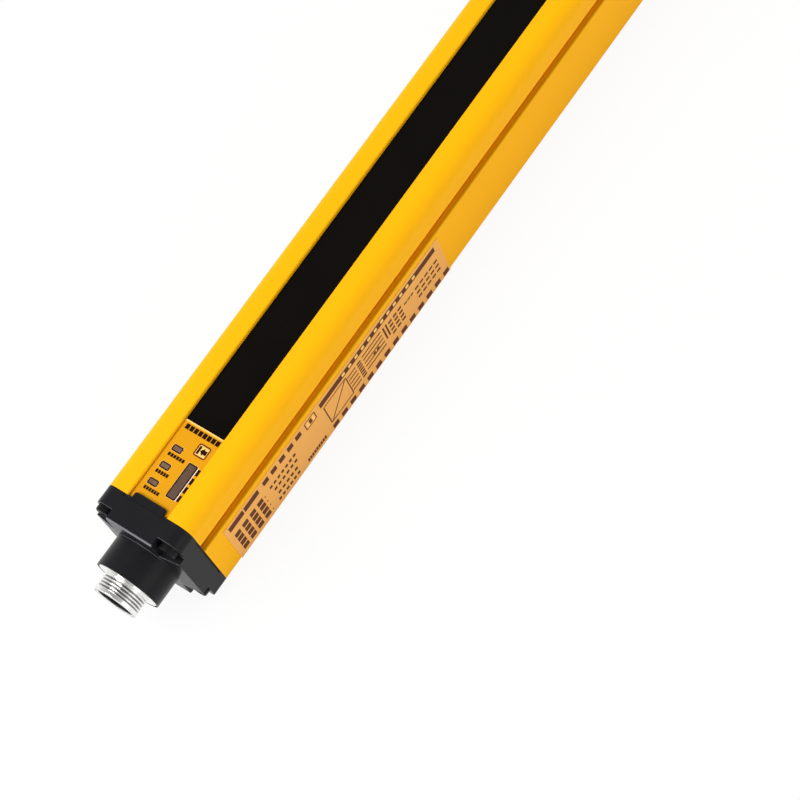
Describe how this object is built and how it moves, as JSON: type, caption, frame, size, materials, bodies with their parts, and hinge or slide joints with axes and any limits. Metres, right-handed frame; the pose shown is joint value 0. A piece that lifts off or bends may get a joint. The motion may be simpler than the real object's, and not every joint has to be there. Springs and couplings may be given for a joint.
{
  "type": "safety light curtain",
  "caption": "Receiver bar of a safety light curtain: a coated aluminium extrusion with a dark front window, black end caps and a round threaded connector at one end.",
  "frame": {"origin": "centre of the flat rear face, on the surface that the bar lies on", "axes": "+X along the bar from the connector end to the far end, +Z out of the window's side, +Y to the side without the label"},
  "size_m": [0.378, 0.0341, 0.04],
  "materials": {
    "yellow_coat": "satin yellow powder coat on extruded aluminium",
    "window_black": "gloss black infrared-pass plastic",
    "seal_rubber": "matt black",
    "panel_film": "orange-yellow printed film",
    "lamp_grey": "grey translucent window",
    "label_film": "pale orange printed film",
    "cap_black": "fine satin black moulding",
    "nickel": "bright nickel plate",
    "insert_black": "black moulding",
    "pin_brass": "gold-plated",
    "screw_black": "black steel",
    "lens_clear": "clear acrylic",
    "diode_dark": "dark tinted epoxy",
    "carrier_black": "matt black moulding",
    "board_green": "green solder mask",
    "led_white": "white chip",
    "chip_black": "black moulding"
  },
  "bodies": {
    "root": {"alignment_lens": "lamp_grey", "board_header": "chip_black", "connector_insert": "insert_black", "connector_nut": "nickel", "connector_pin_1": "pin_brass", "connector_pin_2": "pin_brass", "connector_pin_3": "pin_brass", "connector_pin_4": "pin_brass", "connector_pin_5": "pin_brass", "connector_ring": "seal_rubber", "connector_shell": "nickel", "controller_chip": "chip_black", "display_board": "board_green", "front_window": "window_black", "gauge_led_1": "led_white", "gauge_led_2": "led_white", "gauge_led_3": "led_white", "gauge_led_4": "led_white", "housing": "yellow_coat", "indicator_lens_1": "lamp_grey", "indicator_lens_2": "lamp_grey", "indicator_lens_3": "lamp_grey", "indicator_panel": "panel_film", "lens_1": "lens_clear", "lens_2": "lens_clear", "lens_3": "lens_clear", "lens_4": "lens_clear", "lens_5": "lens_clear", "lens_6": "lens_clear", "lens_7": "lens_clear", "lens_8": "lens_clear", "lower_end_cap": "cap_black", "lower_gasket": "seal_rubber", "lower_screw_1": "screw_black", "lower_screw_2": "screw_black", "lower_screw_3": "screw_black", "lower_screw_4": "screw_black", "main_board": "board_green", "optics_carrier": "carrier_black", "photodiode_1": "diode_dark", "photodiode_2": "diode_dark", "photodiode_3": "diode_dark", "photodiode_4": "diode_dark", "photodiode_5": "diode_dark", "photodiode_6": "diode_dark", "photodiode_7": "diode_dark", "photodiode_8": "diode_dark", "rating_label": "label_film", "status_led_1": "led_white", "status_led_2": "led_white", "status_led_3": "led_white", "upper_end_cap": "cap_black", "upper_gasket": "seal_rubber", "upper_screw_1": "screw_black", "upper_screw_2": "screw_black", "upper_screw_3": "screw_black", "upper_screw_4": "screw_black", "window_seal_left": "seal_rubber", "window_seal_right": "seal_rubber"}
  },
  "joints": []
}
